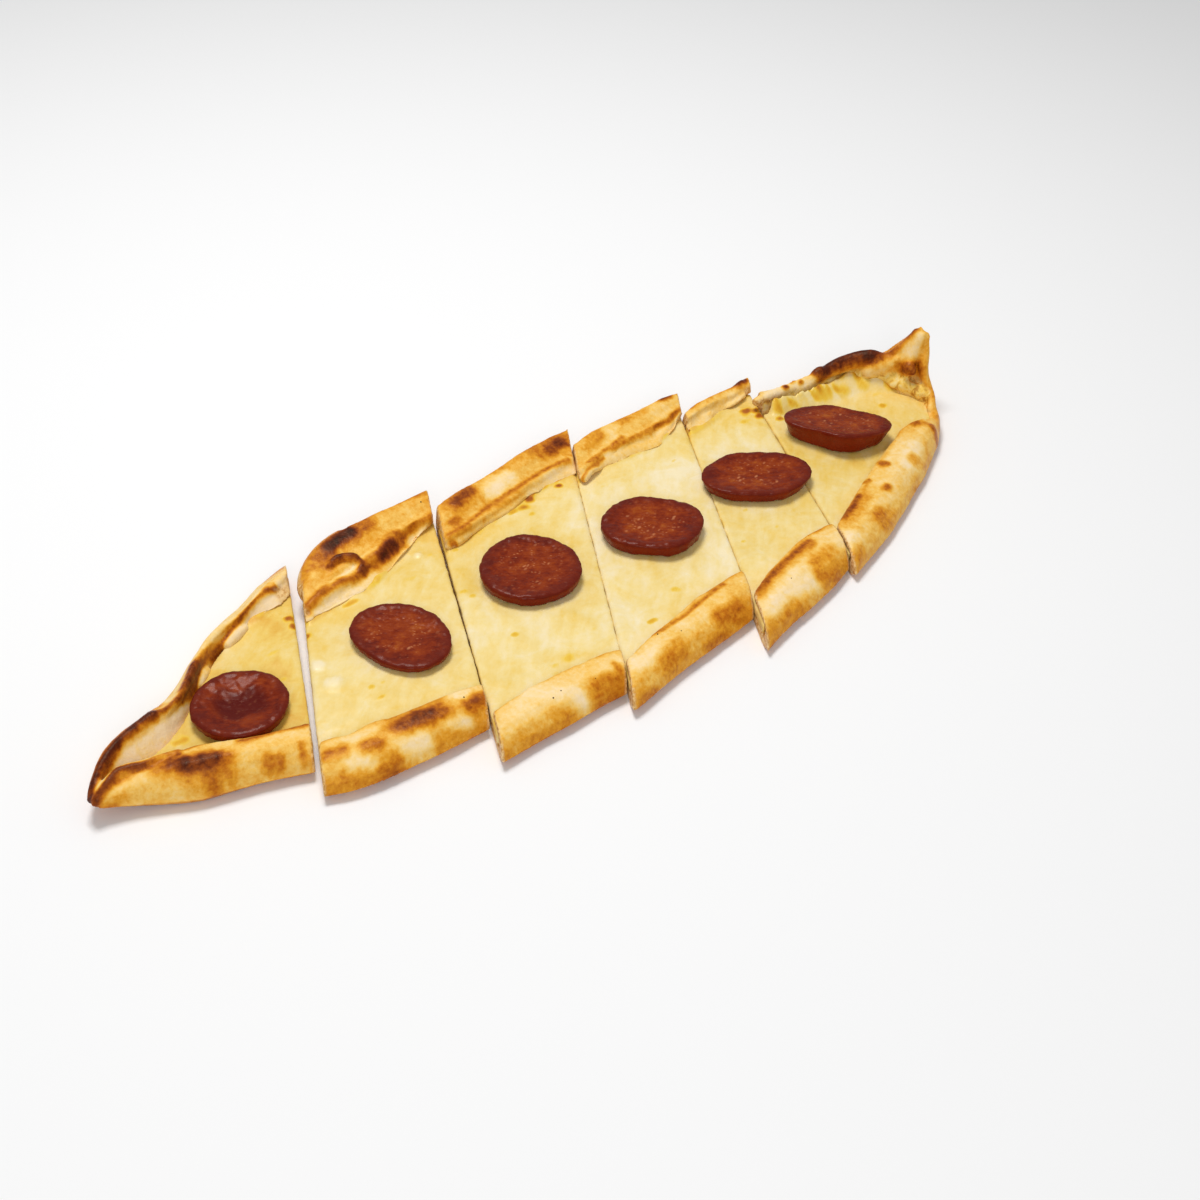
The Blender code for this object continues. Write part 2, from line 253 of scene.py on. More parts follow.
def shareAlong(form, points):
    # how far along the slice each point is, from 0 at its left cut to 1 at its right
    first, last = form["cut"]
    low = np.zeros(len(points))
    high = np.ones(len(points))
    for _ in range(18):
        middle = (low + high) / 2
        reached = first + (last - first) * middle + curveThrough(form["lean"], middle) * points[:, 1]
        left = reached < points[:, 0]
        low = np.where(left, middle, low)
        high = np.where(left, high, middle)
    return (low + high) / 2


def guides(form, points):
    share = shareAlong(form, points)
    lines = {key: curveThrough(form[key], share)
             for key in ("nearEdge", "nearLip", "farLip", "farRidge", "farEdge", "ply")}
    lines["share"] = share
    slope = form["lean"]
    flat = [math.hypot(1.0, slope[0]), math.hypot(1.0, slope[-1])]
    lines["fromLeft"] = (points[:, 0] - form["cut"][0] - slope[0] * points[:, 1]) / flat[0]
    lines["fromRight"] = (form["cut"][1] + slope[-1] * points[:, 1] - points[:, 0]) / flat[1]
    return lines


def shaderTree(name, roughness, gloss=0.5, glossTint=(1.0, 1.0, 1.0)):
    made = bpy.data.materials.new(name)
    made.use_nodes = True
    shader = made.node_tree.nodes["Principled BSDF"]
    shader.inputs["Roughness"].default_value = roughness
    shader.inputs["Specular IOR Level"].default_value = gloss
    shader.inputs["Specular Tint"].default_value = (*glossTint, 1.0)
    return made, made.node_tree, shader


def noiseNode(tree, spot, scale, detail=3.0, rough=0.55, warp=0.0):
    made = tree.nodes.new("ShaderNodeTexNoise")
    made.inputs["Scale"].default_value = scale
    made.inputs["Detail"].default_value = detail
    made.inputs["Roughness"].default_value = rough
    made.inputs["Distortion"].default_value = warp
    tree.links.new(spot, made.inputs["Vector"])
    return made.outputs["Fac"]


def stretchedSpot(tree, spot, turn, stretch):
    # the same coordinates turned about Z and drawn out along the turned X
    made = tree.nodes.new("ShaderNodeMapping")
    made.vector_type = "TEXTURE"
    made.inputs["Rotation"].default_value = (0, 0, math.radians(turn))
    made.inputs["Scale"].default_value = (stretch, 1, 1)
    tree.links.new(spot, made.inputs["Vector"])
    return made.outputs["Vector"]


def fleckNode(tree, spot, scale, low, high):
    made = tree.nodes.new("ShaderNodeTexVoronoi")
    made.inputs["Scale"].default_value = scale
    tree.links.new(spot, made.inputs["Vector"])
    return mapRange(tree, made.outputs["Distance"], low, high)


def mathNode(tree, operation, first, second):
    made = tree.nodes.new("ShaderNodeMath")
    made.operation = operation
    for socket, value in zip(made.inputs, (first, second)):
        if isinstance(value, (int, float)):
            socket.default_value = value
        else:
            tree.links.new(value, socket)
    return made.outputs[0]


def shiftedBy(tree, value, tone, amount):
    # value plus a noise tone, centred on zero, times amount
    shift = mathNode(tree, "MULTIPLY", mathNode(tree, "SUBTRACT", tone, 0.5), amount)
    return mathNode(tree, "ADD", value, shift)


def rampNode(tree, value, stops):
    made = tree.nodes.new("ShaderNodeValToRGB")
    tree.links.new(value, made.inputs["Fac"])
    bar = made.color_ramp
    while len(bar.elements) < len(stops):
        bar.elements.new(0.5)
    for element, (place, colour) in zip(bar.elements, stops):
        element.position = place
        element.color = (*colour, 1.0)
    return made.outputs["Color"]


def mixNode(tree, share, first, second):
    made = tree.nodes.new("ShaderNodeMix")
    made.data_type = "RGBA"
    for index, value in ((0, share), (6, first), (7, second)):
        if isinstance(value, (int, float)):
            made.inputs[index].default_value = value
        elif isinstance(value, tuple):
            made.inputs[index].default_value = (*value, 1.0)
        else:
            tree.links.new(value, made.inputs[index])
    return made.outputs[2]


def layerNode(tree, name):
    made = tree.nodes.new("ShaderNodeAttribute")
    made.attribute_name = name
    return made.outputs["Fac"]


def mapRange(tree, value, low, high, outLow=0.0, outHigh=1.0):
    made = tree.nodes.new("ShaderNodeMapRange")
    made.interpolation_type = "SMOOTHSTEP"
    tree.links.new(value, made.inputs[0])
    for index, amount in zip((1, 2, 3, 4), (low, high, outLow, outHigh)):
        made.inputs[index].default_value = amount
    return made.outputs[0]


def bumpNode(tree, shader, parts, strength, distance):
    # parts: pairs of a height and its weight
    height = 0.0
    for value, weight in parts:
        height = mathNode(tree, "ADD", mathNode(tree, "MULTIPLY", value, weight), height)
    made = tree.nodes.new("ShaderNodeBump")
    made.inputs["Strength"].default_value = strength
    made.inputs["Distance"].default_value = distance
    tree.links.new(height, made.inputs["Height"])
    tree.links.new(made.outputs["Normal"], shader.inputs["Normal"])


crustLook = {
    "bands": ((0.00, (0.955, 0.745, 0.460)),   # floury white
              (0.14, (0.945, 0.680, 0.290)),   # cream
              (0.30, (0.910, 0.545, 0.115)),   # straw
              (0.45, (0.790, 0.345, 0.024)),   # gold
              (0.60, (0.540, 0.160, 0.007)),   # orange brown
              (0.74, (0.265, 0.055, 0.006)),   # brown
              (0.87, (0.105, 0.016, 0.004)),   # dark brown
              (1.00, (0.036, 0.007, 0.003))),  # burnt
    "crumb": (0.890, 0.630, 0.300),
    "crumbShade": (0.560, 0.270, 0.060),
    "melt": ((0.36, (0.970, 0.800, 0.380)),
             (0.50, (0.930, 0.640, 0.130)),
             (0.62, (0.520, 0.220, 0.018))),
    "broad": 0.30, "middle": 0.30, "fine": 0.34,
    "rough": (0.55, 0.34),                     # pale flour, then glossy gold
}


def bakedCrust():
    made, tree, shader = shaderTree("bakedCrust", 0.5, 0.16, (1.0, 0.82, 0.55))
    spot = tree.nodes.new("ShaderNodeTexCoord").outputs["Object"]
    broad = noiseNode(tree, spot, 95, 3.0, 0.55, 0.5)
    middle = noiseNode(tree, spot, 240, 3.0, 0.6, 0.4)
    fine = noiseNode(tree, spot, 520, 4.0, 0.65)
    pores = noiseNode(tree, spot, 1300, 2.0, 0.6)
    toastAndPaintedCrease = shiftedBy(tree, layerNode(tree, "toastAndPaintedCrease"), broad, crustLook["broad"])
    toastAndPaintedCrease = shiftedBy(tree, toastAndPaintedCrease, middle, crustLook["middle"])
    toastAndPaintedCrease = shiftedBy(tree, toastAndPaintedCrease, fine, crustLook["fine"])
    colour = rampNode(tree, toastAndPaintedCrease, crustLook["bands"])
    stain = rampNode(tree, noiseNode(tree, spot, 210, 4.0, 0.6, 0.6), crustLook["melt"])
    colour = mixNode(tree, layerNode(tree, "melt"), colour, stain)
    crumbTone = mixNode(tree, mapRange(tree, fine, 0.38, 0.62), crustLook["crumbShade"],
                        crustLook["crumb"])
    colour = mixNode(tree, layerNode(tree, "crumb"), colour, crumbTone)
    tree.links.new(colour, shader.inputs["Base Color"])
    tree.links.new(mapRange(tree, toastAndPaintedCrease, 0.1, 0.5, *crustLook["rough"]),
                   shader.inputs["Roughness"])
    bumpNode(tree, shader, ((broad, 0.8), (middle, 0.5), (fine, 0.5), (pores, 0.2)), 0.5, 0.0010)
    return made


cheeseLook = {
    "oilAndPaintedLight": ((0.06, (0.915, 0.785, 0.500)),     # cream
            (0.36, (0.880, 0.690, 0.285)),     # butter
            (0.64, (0.830, 0.575, 0.130)),     # oily yellow
            (0.95, (0.730, 0.385, 0.035))),    # gold
    "brown": ((0.32, (0.850, 0.570, 0.060)),   # mustard
              (0.54, (0.740, 0.380, 0.018)),
              (0.76, (0.450, 0.125, 0.008)),
              (0.96, (0.200, 0.036, 0.005))),
    "broad": 0.85, "streak": 0.62, "fine": 0.24,
}


def meltedCheese():
    made, tree, shader = shaderTree("meltedCheese", 0.3, 0.36, (1.0, 0.93, 0.74))
    spot = tree.nodes.new("ShaderNodeTexCoord").outputs["Object"]
    broad = noiseNode(tree, spot, 60, 3.0, 0.6, 0.8)
    streak = noiseNode(tree, stretchedSpot(tree, spot, 40, 3.5), 190, 4.0, 0.6, 0.3)
    fine = noiseNode(tree, spot, 520, 3.0, 0.6)
    oilAndPaintedLight = shiftedBy(tree, layerNode(tree, "oilAndPaintedLight"), broad, cheeseLook["broad"])
    oilAndPaintedLight = shiftedBy(tree, oilAndPaintedLight, streak, cheeseLook["streak"])
    oilAndPaintedLight = shiftedBy(tree, oilAndPaintedLight, fine, cheeseLook["fine"])
    colour = rampNode(tree, oilAndPaintedLight, cheeseLook["oilAndPaintedLight"])
    brown = shiftedBy(tree, layerNode(tree, "brown"), streak, 0.5)
    colour = mixNode(tree, mapRange(tree, brown, 0.12, 0.40), colour,
                     rampNode(tree, brown, cheeseLook["brown"]))
    tree.links.new(colour, shader.inputs["Base Color"])
    tree.links.new(mapRange(tree, broad, 0.35, 0.65, 0.26, 0.46), shader.inputs["Roughness"])
    bumpNode(tree, shader, ((broad, 0.8), (streak, 0.4), (fine, 0.1)), 0.4, 0.001)
    return made


sucukLook = {
    "meat": ((0.30, (0.110, 0.008, 0.003)),
             (0.47, (0.190, 0.018, 0.002)),
             (0.62, (0.265, 0.036, 0.003)),
             (0.78, (0.370, 0.085, 0.009))),
    "wall": (0.200, 0.013, 0.002),
    "rim": (0.125, 0.012, 0.006),
    "dark": (0.088, 0.004, 0.002),
    "fat": (0.780, 0.320, 0.140),
}


def friedSucuk():
    made, tree, shader = shaderTree("friedSucuk", 0.36, 0.12, (1.0, 0.55, 0.40))
    shader.inputs["Coat Weight"].default_value = 0.18
    shader.inputs["Coat Roughness"].default_value = 0.20
    shader.inputs["Coat IOR"].default_value = 1.35
    spot = tree.nodes.new("ShaderNodeTexCoord").outputs["Object"]
    broad = noiseNode(tree, spot, 110, 5.0, 0.66)
    grain = noiseNode(tree, stretchedSpot(tree, spot, -38, 2.2), 620, 3.0, 0.6)
    tone = shiftedBy(tree, broad, layerNode(tree, "core"), 0.13)
    tone = shiftedBy(tree, tone, grain, 0.42)
    colour = rampNode(tree, tone, sucukLook["meat"])
    colour = mixNode(tree, mathNode(tree, "MULTIPLY", layerNode(tree, "rim"), 0.75), colour,
                     sucukLook["rim"])
    colour = mixNode(tree, mathNode(tree, "MULTIPLY", layerNode(tree, "wall"), 0.6), colour,
                     sucukLook["wall"])
    colour = mixNode(tree, layerNode(tree, "dark"), colour, sucukLook["dark"])
    for scale, low, high, strength, turn in ((430, 0.38, 0.12, 0.45, 15), (900, 0.34, 0.12, 0.42, -50)):
        drawn = stretchedSpot(tree, spot, turn, 1.8)
        picked = mapRange(tree, noiseNode(tree, spot, scale * 0.3, 1.0, 0.5), 0.50, 0.60)
        share = mathNode(tree, "MULTIPLY", fleckNode(tree, drawn, scale, low, high), picked)
        share = mathNode(tree, "MULTIPLY", share, layerNode(tree, "core"))
        colour = mixNode(tree, mathNode(tree, "MULTIPLY", share, strength), colour,
                         sucukLook["fat"])
    tree.links.new(colour, shader.inputs["Base Color"])
    tree.links.new(mapRange(tree, grain, 0.35, 0.65, 0.26, 0.50), shader.inputs["Roughness"])
    bumpNode(tree, shader, ((broad, 0.5), (grain, 0.5)), 0.6, 0.0009)
    return made


crustMaterial = bakedCrust()
cheeseMaterial = meltedCheese()
sucukMaterial = friedSucuk()
print("materials made")


crustShape = {
    "voxel": 0.8, "smoothing": 3,
    "puff": 0.6, "puffSize": 19.0,
    "lump": 0.35, "lumpSize": 7.5,
    "grain": 0.10, "grainSize": 2.4,
    "lipRise": 0.7, "lipWander": 0.9,
    "scallop": 1.6, "plyDrop": 1.8,
    "torn": 0.9,
}

# How each slice is baked, from 0 for floury white to 1 for burnt: the near flap, the
# band along its foot and the share of the flap that the band takes, the flap's lip, the
# far rim, the line along its back and the inner face.
bakes = (
    {"near": 0.24, "foot": 0.34, "band": 0.25, "lip": 0.66, "far": 0.22, "back": 0.46, "inner": 0.08},
    {"near": 0.16, "foot": 0.52, "band": 0.40, "lip": 0.44, "far": 0.39, "back": 0.50, "inner": 0.08},
    {"near": 0.22, "foot": 0.56, "band": 0.34, "lip": 0.44, "far": 0.40, "back": 0.50, "inner": 0.22},
    {"near": 0.27, "foot": 0.46, "band": 0.30, "lip": 0.44, "far": 0.29, "back": 0.44, "inner": 0.18},
    {"near": 0.19, "foot": 0.48, "band": 0.26, "lip": 0.52, "far": 0.24, "back": 0.46, "inner": 0.14},
    {"near": 0.23, "foot": 0.40, "band": 0.28, "lip": 0.40, "far": 0.22, "back": 0.46, "inner": 0.18},
)

# Browned and pale marks on each slice, two of them painting the raised corner's crease: how baked, reach,
# how raised, and the path, whose points are x, y, or x, y and height where a mark keeps to a wall.
crustMarks = (
    ((0.16, 2.6, 0.3, ((-186, 37), (-177, 43), (-168, 50), (-156, 57), (-140, 67), (-118, 78))),
     (0.68, 1.15, 0.2, ((-197, 31), (-191, 31), (-183, 34), (-175, 39), (-167, 46), (-160, 51),
                       (-151, 55), (-138, 60), (-129, 64), (-120, 68), (-115, 69))),
     (0.76, 2.2, 0.2, ((-179, 37), (-173, 42), (-168, 46))),
     (0.88, 2.0, 0.2, ((-196, 31), (-204, 29.5), (-211, 27), (-218, 24), (-226, 19.5), (-232, 15),
                       (-236, 11))),
     (0.78, 1.7, 0.2, ((-236, 8), (-233, 10), (-227, 12), (-221, 14), (-215, 11.5), (-206, 7),
                       (-200, 6.5))),
     (0.60, 5.0, 0.3, ((-208, 5), (-197, -2), (-188, -7))),
     (0.62, 3.0, 0.0, ((-197, -4), (-195, -10))),
     (0.82, 2.6, 0.3, ((-205, 4), (-200, 1))),
     (0.82, 3.8, 0.4, ((-200, 0), (-191, -4))),
     (0.60, 2.6, 0.3, ((-175, -15), (-171, -17))),
     (0.54, 1.6, 0.0, ((-160.5, -17), (-163, -21))),
     (0.62, 1.5, 0.0, ((-170, -2), (-158, -7), (-151, -10))),
     (0.68, 3.5, 0.0, ((-238, 7, 4), (-231, 5, 5)))),
    ((0.08, 4.2, 0.0, ((-150, -35), (-146, -37))),
     (0.06, 4.2, 0.0, ((-129, -41), (-122, -43))),
     (0.08, 3.2, 0.0, ((-108, -43), (-102, -45))),
     (0.08, 3.0, 0.0, ((-99, -34), (-95, -35))),
     (0.64, 2.3, 0.2, ((-112, 49), (-104, 52), (-93, 53), (-84, 52.5), (-72, 56), (-60, 60))),
     (0.60, 1.7, 0.2, ((-60, 60), (-48, 64), (-40, 65), (-29, 66))),
     (0.64, 4.2, 0.2, ((-72, 55.5), (-62, 59), (-54, 62))),
     (0.86, 2.2, 0.4, ((-68, 57), (-62, 59), (-58, 60.5))),
     (0.64, 5.0, 0.2, ((-92, 67), (-82, 71), (-62, 73))),
     (0.98, 3.2, 0.5, ((-84, 71), (-79, 73), (-72, 73.5))),
     (0.80, 2.1, 0.6, ((-91, 62), (-87, 63.5), (-82, 62.5), (-79, 60), (-77.5, 56), (-80, 53.5))),
     (0.58, 1.8, 0.0, ((-42, 79.5), (-34, 79), (-27, 78))),
     (0.58, 4.2, 0.3, ((-157, -28), (-151, -30))),
     (0.63, 4.4, 0.3, ((-142, -34.5), (-138, -36))),
     (0.60, 5.5, 0.2, ((-128, -34), (-119, -35), (-107, -38))),
     (0.77, 4.4, 0.4, ((-125, -35), (-119, -34.5), (-111, -36.5))),
     (0.68, 4.0, 0.3, ((-98, -42), (-92, -41), (-88, -41))),
     (0.60, 3.0, 0.0, ((-161, -27, 6), (-158, -30, 4)))),
    ((0.08, 4.5, 0.0, ((-75, -52), (-66, -59), (-60, -65))),
     (0.06, 4.5, 0.0, ((-2, 61), (12, 64))),
     (0.60, 5.5, 0.2, ((-22, 62), (-10, 66))),
     (0.80, 3.0, 0.3, ((-20, 63), (-11, 65))),
     (0.62, 2.2, 0.2, ((-30, 54), (-26, 54.5))),
     (0.46, 3.0, 0.0, ((8, 71), (24, 73))),
     (0.58, 6.0, 0.1, ((36, 70), (52, 70))),
     (0.80, 3.2, 0.3, ((41, 69), (50, 70))),
     (0.60, 1.3, 0.1, ((-36, 49), (-26, 50), (-11, 54), (1, 56), (16, 58), (28, 60), (45, 60))),
     (0.60, 1.3, 0.2, ((-37, 46), (-35, 45))),
     (0.54, 3.2, 0.2, ((-49, -65), (-43, -66))),
     (0.55, 2.0, 0.0, ((-37, -61), (-39, -69)))),
    ((0.06, 4.2, 0.0, ((-30, -66), (-20, -66))),
     (0.52, 4.0, 0.2, ((60, 60), (68, 63))),
     (0.64, 1.9, 0.2, ((70, 54.5), (77, 56))),
     (0.46, 3.0, 0.2, ((84, 64), (100, 65))),
     (0.58, 1.3, 0.0, ((51, 52), (64, 54.5), (74, 53.5), (85, 53.5), (96, 54), (107, 55), (118, 57))),
     (0.56, 1.0, 0.0, ((42, 46), (47, 48), (61, 52))),
     (0.74, 2.2, 0.3, ((113, 66), (118, 66))),
     (0.52, 5.0, 0.2, ((-18, -72), (-8, -70))),
     (0.60, 4.0, 0.2, ((18, -67), (30, -67))),
     (0.58, 1.3, 0.0, ((-30, -57), (-19, -56), (-7, -58), (8, -57), (24, -55), (34, -54))),
     (0.58, 3.0, 0.0, ((-38, -77, 4), (-30, -78, 4)))),
    ((0.06, 4.5, 0.0, ((41, -76), (52, -72), (67, -75))),
     (0.52, 1.5, 0.0, ((118, 57), (132, 56), (152, 54))),
     (0.60, 2.3, 0.0, ((122, 55), (127, 55.5))),
     (0.84, 2.2, 0.4, ((154, 53), (160, 53.5))),
     (0.46, 3.6, 0.1, ((41, -68), (58, -63), (74, -60), (86, -58))),
     (0.68, 1.7, 0.2, ((38, -67), (50, -64.5), (60, -61.5), (74, -59), (86, -57))),
     (0.60, 2.0, 0.2, ((83, -60), (85, -60))),
     (0.50, 4.5, 0.1, ((78, -69), (88, -68))),
     (0.55, 3.5, 0.0, ((74, -75), (84, -77))),
     (0.52, 3.4, 0.0, ((33, -86), (52, -82)))),
    ((0.05, 4.5, 0.0, ((170, -46), (185, -38))),
     (0.06, 3.5, 0.0, ((98, -68), (106, -66))),
     (0.06, 3.0, 0.0, ((160, 37), (180, 33))),
     (0.64, 5.6, 0.1, ((192, 30, 20), (203, 28, 20), (214, 23, 22), (222, 16, 22))),
     (0.92, 3.6, 0.2, ((193, 31, 21), (201, 29, 22), (209, 27, 23), (215, 24, 24), (220, 18, 25))),
     (0.82, 2.2, 0.5, ((189, 31), (191, 30.5))),
     (0.66, 3.2, 0.0, ((224, 12.5, 26), (227, 10, 32), (230, 7.5, 37), (232, 5, 41))),
     # dark side of the raised corner's crease: painted shade of the fold, on browned crust
     (0.84, 1.7, 0.0, ((223, 15, 27), (226, 12, 31), (230, 9, 37), (233, 6, 42))),
     (0.74, 2.2, 0.0, ((233, 4, 44), (236, 0, 43))),
     (0.40, 2.6, 0.0, ((235, -1, 40), (233, -2, 34), (231, -4, 26))),
     # pale strip beside the crease: painted highlight of the fold
     (0.10, 2.0, 0.0, ((232, 2, 39), (230, 1, 35), (228, 1.5, 30), (226, 4.5, 26), (224, 8, 20),
                       (224, 13, 16))),
     (0.44, 2.6, 0.0, ((224, 2, 14), (229, -6, 14), (229, -13, 11), (225, -17, 9))),
     (0.60, 6.4, 0.0, ((223, 3, 22), (227, -2, 22))),
     (0.77, 4.2, 0.3, ((223, 2.5, 23.5), (226, -2, 23))),
     (0.72, 1.7, 0.8, ((170, 34.5, 17), (171, 34.5, 17))),
     (0.64, 1.4, 0.6, ((179, 32.5, 17), (180, 32.5, 17))),
     (0.60, 1.2, 0.4, ((175, 35, 18), (177, 35, 18))),
     (0.72, 2.4, 0.4, ((157, 30, 11), (157, 26, 10))),
     (0.58, 2.2, 0.3, ((199, -26), (204, -28), (207, -32))),
     (0.70, 2.4, 0.3, ((206, -33), (205, -37))),
     (0.62, 2.2, 0.3, ((159, -39), (161, -40))),
     (0.62, 2.8, 0.3, ((146, -53), (148, -52))),
     (0.60, 1.7, 0.2, ((142, -43), (144, -43.5))),
     (0.46, 4.0, 0.1, ((113, -57), (124, -55), (133, -50))),
     (0.68, 1.8, 0.2, ((112, -55), (122, -52.5), (131, -48.5))),
     (0.56, 4.0, 0.2, ((126, -64), (131, -63))),
     (0.46, 3.4, 0.0, ((175, -45), (177, -44))),
     (0.50, 3.0, 0.0, ((98, -76), (104, -74)))),
)

# Torn crumb: x, y, height and reach.
tornPlaces = (
    ((-114, 68, 10, 5.0), (-116, 61, 9, 4.0)),
    ((-115, 50, 9, 4.0), (-110, 48, 9, 2.5)),
    ((-37, 46, 9, 3.0),),
    (),
    ((160, 46, 12, 4.0),),
    ((157, 32, 12, 3.5),),
)

# Rolls along a rim: line, offset across, height, radius, first and last share, waviness.
rimRolls = (
    (("farLip", 0.6, 13.9, 1.5, 0.36, 0.97, 0.5), ("nearLip", -1.6, 12.6, 1.5, 0.45, 0.98, 0.3)),
    (("nearLip", -1.5, 12.0, 1.5, 0.02, 0.98, 0.3),),
    (("farLip", 1.0, 13.0, 1.5, 0.02, 0.98, 0.4), ("farLip", -0.6, 10.6, 1.7, 0.02, 0.98, 0.9),
     ("nearLip", -1.5, 12.0, 1.5, 0.02, 0.98, 0.3)),
    (("farLip", 1.2, 13.0, 1.2, 0.02, 0.98, 0.8), ("nearLip", -1.5, 12.0, 1.5, 0.02, 0.98, 0.3)),
    (("farLip", 0.8, 13.6, 1.4, 0.03, 0.97, 0.8), ("farLip", -2.4, 11.4, 1.2, 0.03, 0.9, 1.0),
     ("nearLip", -1.5, 12.2, 1.5, 0.02, 0.98, 0.3)),
    (("nearLip", -1.5, 12.0, 1.5, 0.02, 0.72, 0.3),),
)

# Melted cheese that ran in under the fold of the raised corner, as a roll.
cornerMelt = ((206, 25, 12.5, 2.2), (212, 22.5, 13, 3.0), (217.5, 19, 13.3, 3.4), (221.5, 14, 13.4, 3.4),
              (223.8, 8, 13.6, 3.2), (225.6, 2, 13.4, 3.0), (227, -4, 12.6, 2.6), (226.5, -10, 11, 2.2))

# Rolls and folds of dough of their own: each point is x, y, height and radius.
freeRolls = (
    (((-235, 9, 9, 1.6), (-229, 12, 12, 2.3), (-221, 14, 14, 2.4), (-213, 12, 14.2, 2.2),
      (-205, 10.2, 14.2, 2.0), (-197, 9, 13.8, 1.4)),
     ((-235, 12, 8.5, 1.6), (-229, 17.5, 12.5, 2.0), (-220, 24, 14.6, 2.3), (-212, 27.5, 15.2, 2.3),
      (-204, 30, 15, 2.1), (-195, 32, 14.4, 1.8), (-186, 32.5, 14.2, 1.6)),
     ((-150, 54, 9, 2.2), (-143, 57, 10, 3.0), (-135, 60, 9.5, 2.4)),
     ((-171, 41, 8, 1.8), (-166, 45, 9, 2.6), (-161, 48, 8, 1.8)),
     ((-130, 61, 9, 1.8), (-123, 64, 10.5, 2.6), (-117, 66, 9.5, 2.2))),
    (((-112, 50, 11.5, 2.2), (-104, 51.5, 12.6, 2.8), (-94, 53, 13, 3.0), (-83, 54.5, 13, 3.0),
      (-76, 57, 13.3, 3.0), (-70, 59.5, 13.6, 3.0), (-63, 62, 14, 2.8), (-52, 65.5, 13.6, 2.4),
      (-41, 66, 13.2, 2.2), (-33, 66, 12.8, 2.0)),
     ((-107, 57, 9, 2.6), (-104, 62, 11.0, 3.8), (-99, 67, 13, 4.4), (-91, 72, 15.2, 4.0),
      (-82, 75.5, 16.6, 3.6), (-72, 77, 16.8, 3.2)),
     ((-110, 48.5, 8.5, 2.0), (-101, 48.5, 9.2, 2.4), (-91, 49, 9.2, 2.4), (-82, 51, 9.2, 2.4),
      (-71, 54, 9.4, 2.2), (-61, 57, 9.4, 2.0)),
     ((-91, 62, 17.0, 1.2), (-87, 63.5, 17.8, 1.5), (-82, 62, 17.6, 1.6), (-79, 59.5, 16.6, 1.6),
      (-78, 56, 15.4, 1.3))),
    (),
    (((42, 45.5, 10.5, 1.6), (47, 47.5, 12, 1.8), (61, 51, 11.5, 1.9), (71, 50.5, 11, 2.0),
      (80, 49.5, 10.8, 2.0), (89, 48.5, 10.5, 2.0), (98, 49.5, 10.8, 2.0), (105, 52.5, 11.5, 1.9),
      (112, 55, 12.4, 1.8), (118, 57, 12.8, 1.6)),),
    (((150, 52, 13.5, 1.6), (155, 52.5, 15, 2.0), (160, 53.5, 15.4, 1.8)),),
    (((176, 32.5, 14, 2.0), (186, 31, 16, 2.6), (191, 30.5, 18.8, 3.0), (196, 30, 18.2, 3.5),
      (202, 29, 19, 4.2), (208, 27, 20, 4.3), (214, 24, 21.5, 4.0), (219, 19.5, 23, 3.8),
      (223, 15, 24, 3.2), (228, 10, 29, 3.0), (232, 5.5, 36, 2.9), (234, 3, 41.3, 2.8)),
     ((221, -21, 9, 2.2), (228.5, -14.5, 11.5, 2.4), (232.5, -8, 17, 2.6), (234.5, -3, 27, 2.8),
      (234.8, 0.5, 37, 2.8), (234.3, 1.8, 41.3, 2.6)),
     ((213, 21, 15, 4.5), (219, 17, 18, 5.0), (224, 12, 21, 5.0), (228, 8, 28, 4.2)),
     ((228.5, 6, 10, 5.0), (229, 5.5, 18, 5.2), (230.8, 4, 26, 4.8), (232.6, 3, 34, 3.9),
      (233.8, 2.2, 40, 3.2)),
     ((225.5, 3.5, 21, 3.4), (226.5, 0.5, 22.5, 4.4), (228.5, -3, 21, 3.4)),
     ((221, 8, 12, 2.4), (225, 2, 12.5, 2.8), (228.5, -5, 12.5, 2.8), (229.5, -12, 11, 2.4),
      (226, -17, 9.5, 2.0)),
     ((224, 5, 9, 2.4), (227.5, -2, 9.5, 2.6), (228, -10, 9, 2.2)),
     cornerMelt,
     ((150, 37.5, 14.2, 2.2), (160, 36.8, 14.8, 2.6), (170, 35, 14.6, 2.5), (180, 33, 14.6, 2.2))),
)

# Balls in which the rolls are blended into the crust: x, y, height and reach.
rollBlends = (
    ((-226, 12, 12, 12),),
    ((-100, 62, 14, 14),),
    (),
    (),
    (),
    ((219, 15, 18, 14), (229, 3, 22, 11), (231, 3, 32, 9)),
)


def roundEnds(roll):
    # the roll keeps its radius up to a little before each end and narrows there
    roll = np.array(roll, float)
    for turn in range(2):
        run = roll[1, :3] - roll[0, :3]
        full = roll[0, 3]
        inner = roll[0].copy()
        inner[:3] += run / np.linalg.norm(run) * min(0.6 * full, 0.4 * np.linalg.norm(run))
        roll[0, 3] = 0.4 * full
        roll = np.insert(roll, 1, inner, axis=0)[::-1]
    return roll[:, :3], roll[:, 3]


def rollPaths(number):
    form = slices[number - 1]
    paths = []
    for line, across, height, radius, start, end, wave in rimRolls[number - 1]:
        share = np.linspace(start, end, 12)
        y = curveThrough(form[line], share) + across + wave * np.sin(17 * share + number)
        first, last = form["cut"]
        x = first + (last - first) * share + curveThrough(form["lean"], share) * y
        z = height + 0.3 * np.sin(11 * share + 2 * number)
        paths.append((np.stack([x, y, z], axis=1), radius * (1 + 0.2 * np.sin(23 * share))))
    for roll in freeRolls[number - 1]:
        paths.append(roundEnds(roll))
    return paths


def pathDistance(points, path):
    # a path whose points have no height is measured as seen from above
    path = np.array(path, float)
    spots = points[:, :path.shape[1]]
    nearest = np.full(len(points), 1e6)
    for start, end in zip(path[:-1], path[1:]):
        run = end - start
        share = np.clip((spots - start) @ run / (run @ run), 0, 1)
        nearest = np.minimum(nearest, np.linalg.norm(spots - start - share[:, None] * run, axis=1))
    return nearest


